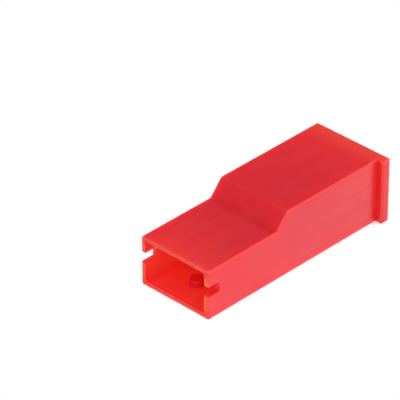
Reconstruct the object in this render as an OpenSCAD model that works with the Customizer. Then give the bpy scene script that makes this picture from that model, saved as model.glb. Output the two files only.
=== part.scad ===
// Crimp terminal housing: one moulded nylon sleeve that insulates a flat push-on terminal.
// The terminal goes in at the tall wire mouth, and the tab it mates with enters at the low end.
// +X runs from the mating end to the wire mouth and +Z is up.
// The origin is the middle of the underside, on the centre line of the body.

/* [Body] */
// Length of the body from the mating end to the wire mouth
body_length = 28.1; // [24:0.1:40]
// Width of the body over its side walls
body_width = 10.1; // [8:0.1:16]
// Height of the low part at the mating end
mating_height = 6.2; // [5.5:0.05:7.4]
// Height of the tall part at the wire mouth
wire_height = 8.15; // [7.1:0.05:12]
// Length of the low part, from the mating end to the foot of the ramp
mating_length = 10.7; // [8:0.05:14]
// Length of the ramp, measured along the body
ramp_length = 1.7; // [0.8:0.05:4]

/* [Walls] */
// Thickness of the side walls at the mating end
mating_side_wall = 0.65; // [0.4:0.05:1.2]
// Thickness of the side walls at the wire mouth, where the drafted core is widest
wire_side_wall = 0.35; // [0.3:0.05:1.2]
// Thickness of the roof over the low part
mating_roof_wall = 0.42; // [0.3:0.02:1.2]
// Thickness of the ramp and of the roof over the tall part
wire_roof_wall = 0.56; // [0.4:0.02:1.2]
// Thickness of the floor
floor_wall = 0.64; // [0.4:0.02:1.2]

/* [Edges] */
// Radius on the outer edges of the body and the flange
edge_radius = 0.2; // [0.05:0.01:0.25]
// Radius in the four long corners of the cavity
cavity_radius = 0.12; // [0.05:0.01:0.8]
// Radius over the crest of the ramp
crest_radius = 0.5; // [0.3:0.05:1]
// Radius in the hollow at the foot of the ramp
foot_radius = 0.3; // [0.1:0.05:1]

/* [Tab notches] */
// Depth of the notch in each side wall, from the mating end
notch_depth = 1.75; // [0.8:0.05:2.4]
// Height of each notch
notch_height = 1.33; // [0.8:0.01:2]
// Height of the lower edge of each notch above the underside
notch_base = 2.93; // [1.5:0.01:3.2]
// Radius in the inner corners of each notch
notch_radius = 0.2; // [0.05:0.01:0.35]

/* [Locking peg] */
// Diameter of the peg on the floor of the cavity that the terminal's locking lance catches on
peg_diameter = 1.7; // [1:0.1:3]
// Height of the peg above the floor
peg_height = 0.8; // [0.3:0.05:1.5]
// Distance from the mating end to the centre of the peg
peg_inset = 3.5; // [2.5:0.1:8]
// Radius round the top of the peg
peg_edge_radius = 0.15; // [0.05:0.01:0.25]

/* [Flange] */
// Reach of the flange beyond the side wall
flange_reach = 0.9; // [0.6:0.05:2]
// Thickness of the flange along the body
flange_thickness = 1.25; // [0.7:0.05:3]
// Radius on the two upright outer edges of the flange
flange_corner_radius = 0.3; // [0.05:0.05:0.3]

/* [Grip ribs] */
// Number of half-round ribs on the mouth face of the flange
rib_count = 6; // [2:1:9]
// Distance between neighbouring ribs
rib_pitch = 0.68; // [0.5:0.02:0.76]
// Width of each rib, which stands out by half of it
rib_width = 0.3; // [0.15:0.05:0.45]
// Distance from the ends of the ribs to the edges of the face they stand on
rib_inset = 0.25; // [0.05:0.05:0.4]

/* [Gate mark] */
// Diameter of the dimple on the ramp where the mould was filled
gate_diameter = 1.2; // [0.6:0.1:1.4]
// Depth of the dimple
gate_depth = 0.07; // [0.03:0.01:0.2]
// Diameter of the broken-off nub in the dimple
gate_nub_diameter = 0.4; // [0.2:0.05:0.5]
// Distance of the dimple's centre above the middle of the ramp, along the slope
gate_offset = 0.45; // [-0.5:0.05:0.5]

/* [Hidden] */
$fn = 48;
nylon_red = [0.82, 0.11, 0.13];
mating_end = -body_length / 2;
wire_end = body_length / 2;
ramp_foot = mating_end + mating_length;
ramp_crest = ramp_foot + ramp_length;
ramp_rise = wire_height - mating_height;
ramp_angle = atan2(ramp_rise, ramp_length);
slope_length = norm([ramp_length, ramp_rise]);
// How far the rounding of the crest reaches on either side of it
crest_run = crest_radius * tan(ramp_angle / 2);
roof_start = ramp_crest + crest_run;
gate_place = slope_length / 2 + gate_offset;
// The mould is filled in the middle of the whole width, flange included
gate_side = -flange_reach / 2;
side_face = body_width / 2;
flange_face = side_face + flange_reach;
flange_root = -side_face + wire_side_wall;
core_draft = atan2(mating_side_wall - wire_side_wall, body_length);
// How far a cut runs past the face that it opens
overrun = 1;
// Long enough to reach past the whole part from any point of it
reach = 2 * (body_length + body_width + wire_height);

// Rectangle between two opposite corners, with round corners
module rounded_rect(low, high, radius) {
    size = high - low;
    translate(low + [radius, 0]) square([size.x - 2 * radius, size.y]);
    translate(low + [0, radius]) square([size.x, size.y - 2 * radius]);
    for (x = [low.x + radius, high.x - radius], y = [low.y + radius, high.y - radius])
        translate([x, y]) circle(radius);
}

// A section drawn as [y, z], run along the body between two stations
module along_body(from, to) {
    translate([from, 0, 0]) rotate([90, 0, 90]) linear_extrude(to - from) children();
}

// A side view drawn as [x, z], run across the given width
module across_body(width) {
    rotate([90, 0, 0]) linear_extrude(width, center = true) children();
}

// Places its children on the ramp, with +X up the slope and +Z out of it
module on_ramp() {
    translate([ramp_foot, 0, mating_height]) rotate([0, -ramp_angle, 0]) children();
}

// Everything below the ramp's plane, inside the given half width and as far up the slope as said
module under_ramp(half_width, wall, radius, up_to) {
    on_ramp() translate([0, 0, -wall]) along_body(-reach, up_to)
        rounded_rect([-half_width, -reach], [half_width, 0], radius);
}

// Round bar across the body whose upper side is the bend between the ramp and the roof
module crest_bend() {
    translate([roof_start, 0, wire_height - crest_radius]) rotate([90, 0, 0]) rotate_extrude()
        intersection() {
            rounded_rect([-crest_radius, -side_face], [crest_radius, side_face], edge_radius);
            translate([0, -side_face]) square([crest_radius, body_width]);
        }
}

// Side view of the sliver that fills the hollow at the foot of the ramp
module rounded_foot() {
    run = foot_radius * tan(ramp_angle / 2);
    translate([ramp_foot, mating_height]) difference() {
        polygon([[-run, 0], [0, 0], run * [cos(ramp_angle), sin(ramp_angle)]]);
        translate([-run, foot_radius]) circle(foot_radius);
    }
}

// Outside of the body: a low bar and a tall one joined by the ramp, with round edges all over
module body() {
    low_corner = [-side_face, 0];
    intersection() {
        union() {
            along_body(mating_end, wire_end)
                rounded_rect(low_corner, [side_face, mating_height], edge_radius);
            along_body(roof_start, wire_end)
                rounded_rect(low_corner, [side_face, wire_height], edge_radius);
            crest_bend();
            intersection() {
                along_body(ramp_foot, wire_end)
                    rounded_rect(low_corner, [side_face, wire_height + overrun], edge_radius);
                under_ramp(side_face, 0, edge_radius, slope_length - crest_run);
            }
        }
        across_body(reach) {
            rounded_rect([mating_end, 0], [wire_end, mating_height], edge_radius);
            rounded_rect([ramp_foot, 0], [wire_end, wire_height], edge_radius);
        }
        linear_extrude(wire_height)
            rounded_rect([mating_end, -side_face], [wire_end, side_face], edge_radius);
    }
    across_body(body_width - 2 * edge_radius) rounded_foot();
}

// Flange at the wire mouth, on one side wall, flush with the roof and the underside
module flange() {
    front = wire_end - flange_thickness;
    intersection() {
        linear_extrude(wire_height)
            rounded_rect(
                [front, -flange_face],
                [wire_end, flange_root + flange_corner_radius],
                flange_corner_radius
            );
        across_body(reach)
            rounded_rect([front, 0], [wire_end, wire_height], edge_radius);
        along_body(front, wire_end)
            rounded_rect([-flange_face, 0], [side_face, wire_height], edge_radius);
    }
}

// Plain half-round grip ribs in a column on the mouth face of the flange
module grip_ribs() {
    lowest = (wire_height - rib_pitch * (rib_count - 1)) / 2;
    rib_length = flange_root + flange_face - 2 * rib_inset;
    for (i = [0 : rib_count - 1])
        translate([wire_end, flange_root - rib_inset, lowest + i * rib_pitch])
            rotate([90, 0, 0]) cylinder(d = rib_width, h = rib_length);
}

// One bar of the core, up to the given ceiling, which widens towards the wire mouth by its draft
module core_bar(from, ceiling) {
    intersection_for (side = [-1, 1])
        translate([mating_end, side * (side_face - mating_side_wall), 0]) rotate(side * core_draft)
            along_body(from - mating_end, body_length + 2 * overrun)
                rounded_rect(
                    [min(0, -side * reach), floor_wall],
                    [max(0, -side * reach), ceiling],
                    cavity_radius
                );
}

// Core that forms the cavity, open at both ends
module cavity() {
    core_bar(mating_end - overrun, mating_height - mating_roof_wall);
    intersection() {
        core_bar(ramp_foot, wire_height - wire_roof_wall);
        under_ramp(reach, wire_roof_wall, cavity_radius, reach);
    }
}

// Notches that let the tab's shoulders into both side walls at the mating end
module tab_notches() {
    across_body(reach)
        rounded_rect(
            [mating_end - overrun, notch_base],
            [mating_end + notch_depth, notch_base + notch_height],
            notch_radius
        );
}

// Round peg for the locking lance, which stands on the floor and is rooted halfway into it
module locking_peg() {
    peg_radius = peg_diameter / 2;
    peg_length = floor_wall / 2 + peg_height;
    translate([mating_end + peg_inset, 0, floor_wall / 2]) rotate_extrude() {
        square([peg_radius - peg_edge_radius, peg_length]);
        square([peg_radius, peg_length - peg_edge_radius]);
        translate([peg_radius, peg_length] - peg_edge_radius * [1, 1]) circle(peg_edge_radius);
    }
}

// Underside of a ball that presses the gate's shallow dimple into the ramp and clears the low roof
module gate_dimple() {
    ball_radius = (pow(gate_diameter / 2, 2) + pow(gate_depth, 2)) / (2 * gate_depth);
    on_ramp() translate([gate_place, gate_side, 0]) intersection() {
        translate([0, 0, ball_radius - gate_depth]) sphere(ball_radius);
        cylinder(d = gate_diameter + 2 * gate_depth, h = 2 * overrun, center = true);
    }
}

// Nub left in the dimple, level with the ramp
module gate_nub() {
    on_ramp() translate([gate_place, gate_side, -wire_roof_wall / 2])
        cylinder(d = gate_nub_diameter, h = wire_roof_wall / 2);
}

// The whole moulding
module housing() {
    color(nylon_red) {
        difference() {
            union() {
                body();
                flange();
            }
            cavity();
            tab_notches();
            gate_dimple();
        }
        locking_peg();
        gate_nub();
        grip_ribs();
    }
}

housing();
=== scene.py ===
# Crimp terminal housing: one red nylon moulding lying on its underside on a white studio floor.
import math

import bpy
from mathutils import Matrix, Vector


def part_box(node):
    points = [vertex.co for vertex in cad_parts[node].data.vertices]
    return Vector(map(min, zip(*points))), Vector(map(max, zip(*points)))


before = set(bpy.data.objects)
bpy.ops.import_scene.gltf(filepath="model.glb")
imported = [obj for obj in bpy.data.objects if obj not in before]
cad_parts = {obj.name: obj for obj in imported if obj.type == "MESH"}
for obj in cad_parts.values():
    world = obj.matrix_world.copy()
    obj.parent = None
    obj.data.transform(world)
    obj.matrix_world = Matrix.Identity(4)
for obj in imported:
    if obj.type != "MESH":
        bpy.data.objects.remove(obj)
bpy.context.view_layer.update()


# Housing
# The whole part is one injection moulding in red nylon, and light comes through its thin walls.
# The mould left it a satin skin with faint flow streaks along the body. Its edges carry painted
# highlights, and its thick parts and corners painted shade.
class Value:
    """A socket in a node tree; arithmetic on it adds the Math nodes."""

    def __init__(self, tree, socket=None):
        self.tree = tree
        self.socket = socket

    def node(self, kind, settings=None, sockets=None, out=0):
        """Adds any node: its settings first, then the values or links of its sockets."""
        made = self.tree.nodes.new(kind)
        for name, setting in (settings or {}).items():
            setattr(made, name, setting)
        for name, value in (sockets or {}).items():
            if isinstance(value, Value):
                self.tree.links.new(value.socket, made.inputs[name])
            else:
                made.inputs[name].default_value = value
        return Value(self.tree, made.outputs[out])

    def math(self, operation, first, second=0.0):
        return self.node("ShaderNodeMath", {"operation": operation}, {0: first, 1: second})

    def __add__(self, other):
        return self.math("ADD", self, other)

    __radd__ = __add__

    def __sub__(self, other):
        return self.math("SUBTRACT", self, other)

    def __rsub__(self, other):
        return self.math("SUBTRACT", other, self)

    def __mul__(self, other):
        return self.math("MULTIPLY", self, other)

    __rmul__ = __mul__

    def __abs__(self):
        return self.math("ABSOLUTE", self)

    def larger(self, other):
        """The larger of two values."""
        return self.math("MAXIMUM", self, other)

    def step(self, low, high):
        """Rises smoothly from 0 at low to 1 at high."""
        settings = {"interpolation_type": "SMOOTHSTEP"}
        sockets = {"Value": self, "From Min": low, "From Max": high}
        return self.node("ShaderNodeMapRange", settings, sockets)

    def fall(self, low, high):
        """Falls smoothly from 1 at low to 0 at high."""
        return 1 - self.step(low, high)

    def axis(self, index):
        """One part of a vector: x, y or z for 0, 1 or 2."""
        return self.node("ShaderNodeSeparateXYZ", sockets={0: self}, out=index)

    def tint(self, low, high):
        """Mixes two colours by this value, through the colour sockets of a Mix node."""
        settings = {"data_type": "RGBA"}
        return self.node("ShaderNodeMix", settings, {0: self, 6: low, 7: high}, out=2)


def new_material(name):
    """An empty material, and a handle that adds nodes to it."""
    material = bpy.data.materials.new(name)
    material.use_nodes = True
    material.node_tree.nodes.clear()
    return material, Value(material.node_tree)


def set_surface(nodes, shader):
    """Makes a shader the surface of the material that the nodes belong to."""
    output = nodes.tree.nodes.new("ShaderNodeOutputMaterial")
    nodes.tree.links.new(shader.socket, output.inputs["Surface"])


millimetre = 0.001


def place_on_object(nodes):
    """The place on the object that is drawn, in millimetres."""
    sockets = {0: nodes.node("ShaderNodeTexCoord", out="Object"), "Scale": 1 / millimetre}
    return nodes.node("ShaderNodeVectorMath", {"operation": "SCALE"}, sockets)


def open_space(nodes, reach, samples, inside=False):
    """How open the space near the surface is, or the solid behind it: 1 where nothing is near."""
    settings = {"inside": inside, "samples": samples}
    return nodes.node("ShaderNodeAmbientOcclusion", settings, {"Distance": reach}, out="AO")


# Faces of the moulding, in millimetres: those of its box, and those that the box doesn't show
box_low, box_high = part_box("housing")
mating_end = box_low[0] / millimetre
wire_end = -mating_end
side_face = box_high[1] / millimetre
tall_roof = box_high[2] / millimetre
low_roof = 6.2
floor_top = 0.64
mating_length = 10.7
ramp_length = 1.7
ramp_foot = mating_end + mating_length
ramp_crest = ramp_foot + ramp_length

nylon, nodes = new_material("red_nylon")
place = place_on_object(nodes)
x, y, z = (place.axis(index) for index in range(3))


def noise(vector, scale, detail):
    """Smooth random values over a vector, with the given number of finer layers."""
    sockets = {"Vector": vector, "Scale": scale, "Detail": detail}
    return vector.node("ShaderNodeTexNoise", sockets=sockets)


# Streaks drawn out along the body, broad clouds, and the fine grain of the mould, per millimetre
streak_scale = (0.18, 0.9, 0.9)
cloud_scale = 0.22
grain_scale = 6.0
streak_share = 0.6
cloud_share = 1 - streak_share
along = nodes.node("ShaderNodeMapping", sockets={"Vector": place, "Scale": streak_scale})
streaks = noise(along, scale=1.0, detail=3.0)
clouds = noise(place, cloud_scale, detail=2.0)
grain = noise(place, grain_scale, detail=2.0)
flow = streak_share * streaks + cloud_share * clouds
flow_range = (0.35, 0.65)
streak_red = (0.985, 0.017, 0.033, 1)
clear_red = (0.999, 0.025, 0.040, 1)
fair_red = flow.step(*flow_range).tint(streak_red, clear_red)

# Painted shade: the side walls grow thicker towards the mating end and let less light through,
# painted as a deeper colour
thick_shade_red = (0.66, 0.011, 0.024, 1)
thick_share = 0.6
thick_length = (mating_end + 1.05, ramp_crest + 0.65)
outer_skin = (side_face - 0.10, side_face - 0.01)
thick_side_shade = x.fall(*thick_length) * abs(y).step(*outer_skin)
side_red = (thick_share * thick_side_shade).tint(fair_red, thick_shade_red)

# Light from the cavity warms the end faces of the walls at the mating end, below the roof
warm_red = (0.9985, 0.056, 0.040, 1)
end_skin = (mating_end + 0.02, mating_end + 0.15)
end_top = (low_roof - 1.2, low_roof - 0.5)
end_face = x.fall(*end_skin) * z.fall(*end_top)
end_red = end_face.tint(side_red, warm_red)

# Painted light: the mouth's upper rim is thin, and the light coming through it is painted on as a
# pale glow
rim_glow_red = (0.999, 0.045, 0.045, 1)
rim_length = (wire_end - 3.55, wire_end - 0.05)
rim_height = (tall_roof - 1.15, tall_roof - 0.05)
mouth_rim_glow = x.step(*rim_length) * z.step(*rim_height)
outer_red = mouth_rim_glow.tint(end_red, rim_glow_red)

# The cavity: its colour ends inside the end faces, the side walls, the floor and the stepped roof
ends_inside = (wire_end - 0.45, wire_end - 0.20)
sides_inside = (side_face - 0.33, side_face - 0.15)
floor_inside = (floor_top - 0.24, floor_top - 0.04)
roof_inside = (low_roof - 0.35, low_roof - 0.20)
ceiling_rise = 1.9
ramp_range = {"From Min": ramp_foot, "From Max": ramp_crest, "To Max": ceiling_rise}
roof_step = nodes.node("ShaderNodeMapRange", sockets={"Value": x, **ramp_range})
cavity = (
    abs(x).fall(*ends_inside)
    * abs(y).fall(*sides_inside)
    * z.step(*floor_inside)
    * (z - roof_step).fall(*roof_inside)
)

# Light fills the cavity with a warm red, deeper far inside and on the wall on the flanged side
inside_red = (0.998, 0.038, 0.053, 1)
deep_red = (0.98, 0.010, 0.022, 1)
front_wall_red = (0.74, 0.006, 0.016, 1)
deep_range = (ramp_foot - 2.65, ramp_foot + 3.35)
wall_range = (side_face - 0.85, side_face - 0.67)
back_wall_share = 0.3
front_wall = (-1 * y).step(*wall_range)
back_wall = y.step(*wall_range)
deep = x.step(*deep_range).larger(front_wall).larger(back_wall_share * back_wall)
inner_red = front_wall.tint(deep.tint(inside_red, deep_red), front_wall_red)
thin_red = cavity.tint(outer_red, inner_red)


def ball(centre, core, edge):
    """1 round a point on the moulding, fading to 0 between two distances from it."""
    settings = {"operation": "DISTANCE"}
    away = nodes.node("ShaderNodeVectorMath", settings, {0: place, 1: centre}, out="Value")
    return away.fall(core, edge)


# Painted shade, deeper red: most on the solid peg, which lets little light through, less in inner
# corners and round the gate mark
shade_red = (0.66, 0.003, 0.018, 1)
peg_inset = 3.5
peg_height = 0.8
peg_centre = (mating_end + peg_inset, 0.0, floor_top + peg_height / 2)
peg_shade = ball(peg_centre, core=0.95, edge=1.06)
gate_centre = (ramp_foot + 1.15, -0.15, low_roof + 1.31)
gate_share = 0.25
gate_shade = ball(gate_centre, core=0.3, edge=0.95)
nook_size = 1.5 * millimetre
nook_range = (0.75, 1.0)
corner_share = 0.5
cavity_relief = 0.7
corner_shade = open_space(nodes, nook_size, samples=16).fall(*nook_range) * (1 - cavity_relief * cavity)
shade = peg_shade.larger(corner_share * corner_shade).larger(gate_share * gate_shade)
shaded_red = shade.tint(thin_red, shade_red)

# Painted shade: the flange is solid and lets little light through, so it is painted the deepest
# red; the shade fades out towards the mouth, top and foot
flange_shade_red = (0.53, 0.015, 0.019, 1)
flange_front = (wire_end - 2.05, wire_end - 1.30)
flange_mouth = (wire_end - 0.45, wire_end)
flange_root = (-side_face + 0.01, -side_face + 0.07)
flange_foot = (0.1, 0.5)
flange_top = (tall_roof - 0.30, tall_roof - 0.05)
flange_shade = (
    x.step(*flange_front) * x.fall(*flange_mouth)
    * y.fall(*flange_root)
    * z.step(*flange_foot) * z.fall(*flange_top)
)
red = flange_shade.tint(shaded_red, flange_shade_red)

# Painted highlights: the round outer edges are painted paler, most of all the roof's edge at the
# mating end
edge_radius = 0.2 * millimetre
square_range = (0.9, 0.985)
highlight_range = (0.05, 0.12)
edge_highlight_red = (0.998, 0.040, 0.043, 1)
end_rim_highlight_red = (0.999, 0.12, 0.10, 1)
end_rim_length = (mating_end + 0.15, mating_end + 0.45)
end_rim_turn = (0.2, 0.8)
facing = nodes.node("ShaderNodeTexCoord", out="Normal")
squareness = abs(facing.axis(0)).larger(abs(facing.axis(1))).larger(abs(facing.axis(2)))
rounding = squareness.fall(*square_range)
edge = 1 - open_space(nodes, edge_radius, samples=16, inside=True)
edge_highlight = edge.step(*highlight_range) * rounding * (1 - cavity) * (1 - gate_shade) * (1 - flange_shade)
end_rim_highlight = x.fall(*end_rim_length) * facing.axis(2).step(*end_rim_turn)

# Painted shade: the sharp inner edges are painted a deeper red
sharp_edge_shade_red = (0.9995, 0.006, 0.010, 1)
sharp_range = (0.2, 0.4)
sharp_share = 0.8
sharp_edge_shade = edge.step(*sharp_range) * (1 - rounding)
edged_red = (sharp_share * sharp_edge_shade).tint(red, sharp_edge_shade_red)
colour = edge_highlight.tint(edged_red, end_rim_highlight.tint(edge_highlight_red, end_rim_highlight_red))

# Satin skin, duller in the cavity. Red light spreads further in the nylon than green and blue
satin = 0.2
flow_dullness = 0.08
cavity_dullness = 0.25
spread = (5.0, 2.4, 1.1)
grain_depth = 0.01 * millimetre
grain_strength = 0.15
skin = nodes.node("ShaderNodeBump", sockets={
    "Strength": grain_strength,
    "Distance": grain_depth,
    "Height": grain + clouds,
})
set_surface(nodes, nodes.node("ShaderNodeBsdfPrincipled", sockets={
    "Base Color": colour,
    "Roughness": satin + flow_dullness * flow + cavity_dullness * cavity,
    "IOR": 1.56,
    "Subsurface Weight": 1.0,
    "Subsurface Radius": spread,
    "Subsurface Scale": millimetre,
    "Normal": skin,
}))
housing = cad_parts["housing"]
housing.data.materials.clear()
housing.data.materials.append(nylon)


# Floor
# A matt white studio floor that the housing lies on, just under the moulding.
# It reads as plain white and darkens only where the housing shades it. Light that comes out of
# the mating end reddens what the housing mirrors of it.
def flat_plate(name, half_length, half_width, level):
    """A level rectangle round the origin."""
    corners = [(-1, -1), (1, -1), (1, 1), (-1, 1)]
    mesh = bpy.data.meshes.new(name)
    mesh.from_pydata(
        [(half_length * end, half_width * side, level) for end, side in corners],
        [],
        [(0, 1, 2, 3)],
    )
    plate = bpy.data.objects.new(name, mesh)
    bpy.context.scene.collection.objects.link(plate)
    return plate


floor_half = 1.5
floor_level = -0.02 * millimetre
floor = flat_plate("floor", floor_half, floor_half, floor_level)
white, nodes = new_material("white_floor")
matt_white = (0.97, 0.97, 0.97, 1)
plain_white = (1, 1, 1, 1)
reddened_white = (1, 0.62, 0.45, 1)
# How open to the sky the floor has to be to show white, and where the reddened stretch of it lies
shadow_reach = 30 * millimetre
seen_range = (0.15, 0.5)
mirrored_range = (0.18, 0.32)
reddened_far = (mating_end - 21.95, mating_end - 7.95)
reddened_near = (mating_end - 0.95, mating_end + 1.05)
seen = nodes.node("ShaderNodeLightPath", out="Is Camera Ray")
mirrored = nodes.node("ShaderNodeLightPath", out="Is Glossy Ray")
open_sky = open_space(nodes, shadow_reach, samples=12)
ahead = place_on_object(nodes).axis(0)
reddened = mirrored * ahead.fall(*reddened_near) * ahead.step(*reddened_far)
matt = nodes.node("ShaderNodeBsdfDiffuse", sockets={"Color": matt_white})
lit = nodes.node("ShaderNodeEmission", sockets={
    "Color": reddened.tint(plain_white, reddened_white),
    "Strength": 1.0,
})
share = (seen * open_sky.step(*seen_range)).larger(mirrored * open_sky.step(*mirrored_range))
set_surface(nodes, nodes.node("ShaderNodeMixShader", sockets={0: share, 1: matt, 2: lit}))
floor.data.materials.append(white)


# Light under the housing
# Light that comes down through the moulding reddens the floor beneath it and shines back up.
# A card between the floor and the underside, inside its outline, stands for that light.
card_inset = 0.3
card_half_length = (wire_end - card_inset) * millimetre
card_half_width = (side_face - card_inset) * millimetre
card_level = -0.012 * millimetre
card = flat_plate("red_card", card_half_length, card_half_width, card_level)
red_light, nodes = new_material("red_light")
card_red = (0.95, 0.29, 0.23, 1)
set_surface(nodes, nodes.node("ShaderNodeEmission", sockets={"Color": card_red, "Strength": 1.0}))
card.data.materials.append(red_light)


# Studio light
# A white tent with an open dark side behind the housing, which keeps the roof and ramp deep red.
# Soft boxes stand round it. Light passes through the thin walls and between them many times, so it
# is followed for many bounces.
def soft_box(name, position, size, radiance):
    """A square lamp that faces the housing and doesn't show in its gloss."""
    lamp = bpy.data.lights.new(name, "AREA")
    lamp.shape = "SQUARE"
    lamp.size = size
    lamp.energy = radiance * math.pi * size * size
    box = bpy.data.objects.new(name, lamp)
    box.location = position
    box.rotation_euler = (-Vector(position)).to_track_quat("-Z", "Y").to_euler()
    box.visible_glossy = False
    bpy.context.scene.collection.objects.link(box)


soft_box("front_box", position=(-0.17, -0.70, 0.42), size=0.8, radiance=1.08)
soft_box("left_box", position=(-0.46, -0.04, 0.38), size=0.25, radiance=1.7)
soft_box("back_box", position=(0.05, 0.60, 0.08), size=0.2, radiance=9.5)
soft_box("edge_box", position=(0.37, -0.18, 0.43), size=0.3, radiance=1.5)
world = bpy.data.worlds.new("studio")
bpy.context.scene.world = world
world.use_nodes = True
world.node_tree.nodes.clear()
nodes = Value(world.node_tree)
tent_side = (1.12, 1.12, 1.12, 1)
tent_top = (0.98, 0.98, 0.98, 1)
dark_side = (0.11, 0.11, 0.12, 1)
# Edges of the tent's parts, as heights and depths of a direction of length 1
tent_fold = (0.55, 0.75)
gap_edge = (-0.1, 0.25)
gap_foot = (0.1, 0.28)
gap_top = (0.85, 0.93)
direction = nodes.node("ShaderNodeTexCoord", out="Generated")
depth = direction.axis(1)
height = direction.axis(2)
tent = height.step(*tent_fold).tint(tent_side, tent_top)
gap = depth.step(*gap_edge) * height.step(*gap_foot) * height.fall(*gap_top)
room = gap.tint(tent, dark_side)
background = nodes.node("ShaderNodeBackground", sockets={"Color": room, "Strength": 1.0})
world_output = world.node_tree.nodes.new("ShaderNodeOutputWorld")
world.node_tree.links.new(background.socket, world_output.inputs["Surface"])
bpy.context.scene.cycles.diffuse_bounces = 32
bpy.context.scene.cycles.max_bounces = 40


# Camera
# It stands well back and looks down on the mating end and the flanged side.
# Its place was fitted to the corners of the housing in the photograph.
aim = Vector((2.32, 12.06, 0.0)) * millimetre
azimuth = math.radians(-45.92)
elevation = math.radians(33.04)
distance = 0.4055
focal_pixels = 3599
image_pixels = 400
back = Vector((
    math.sin(azimuth) * math.cos(elevation),
    -math.cos(azimuth) * math.cos(elevation),
    math.sin(elevation),
))
lens = bpy.data.cameras.new("camera")
lens.sensor_width = 36
lens.lens = lens.sensor_width * focal_pixels / image_pixels
camera = bpy.data.objects.new("camera", lens)
camera.location = aim + back * distance
camera.rotation_euler = back.to_track_quat("Z", "Y").to_euler()
bpy.context.scene.collection.objects.link(camera)
bpy.context.scene.camera = camera
bpy.context.scene.view_settings.view_transform = "Standard"
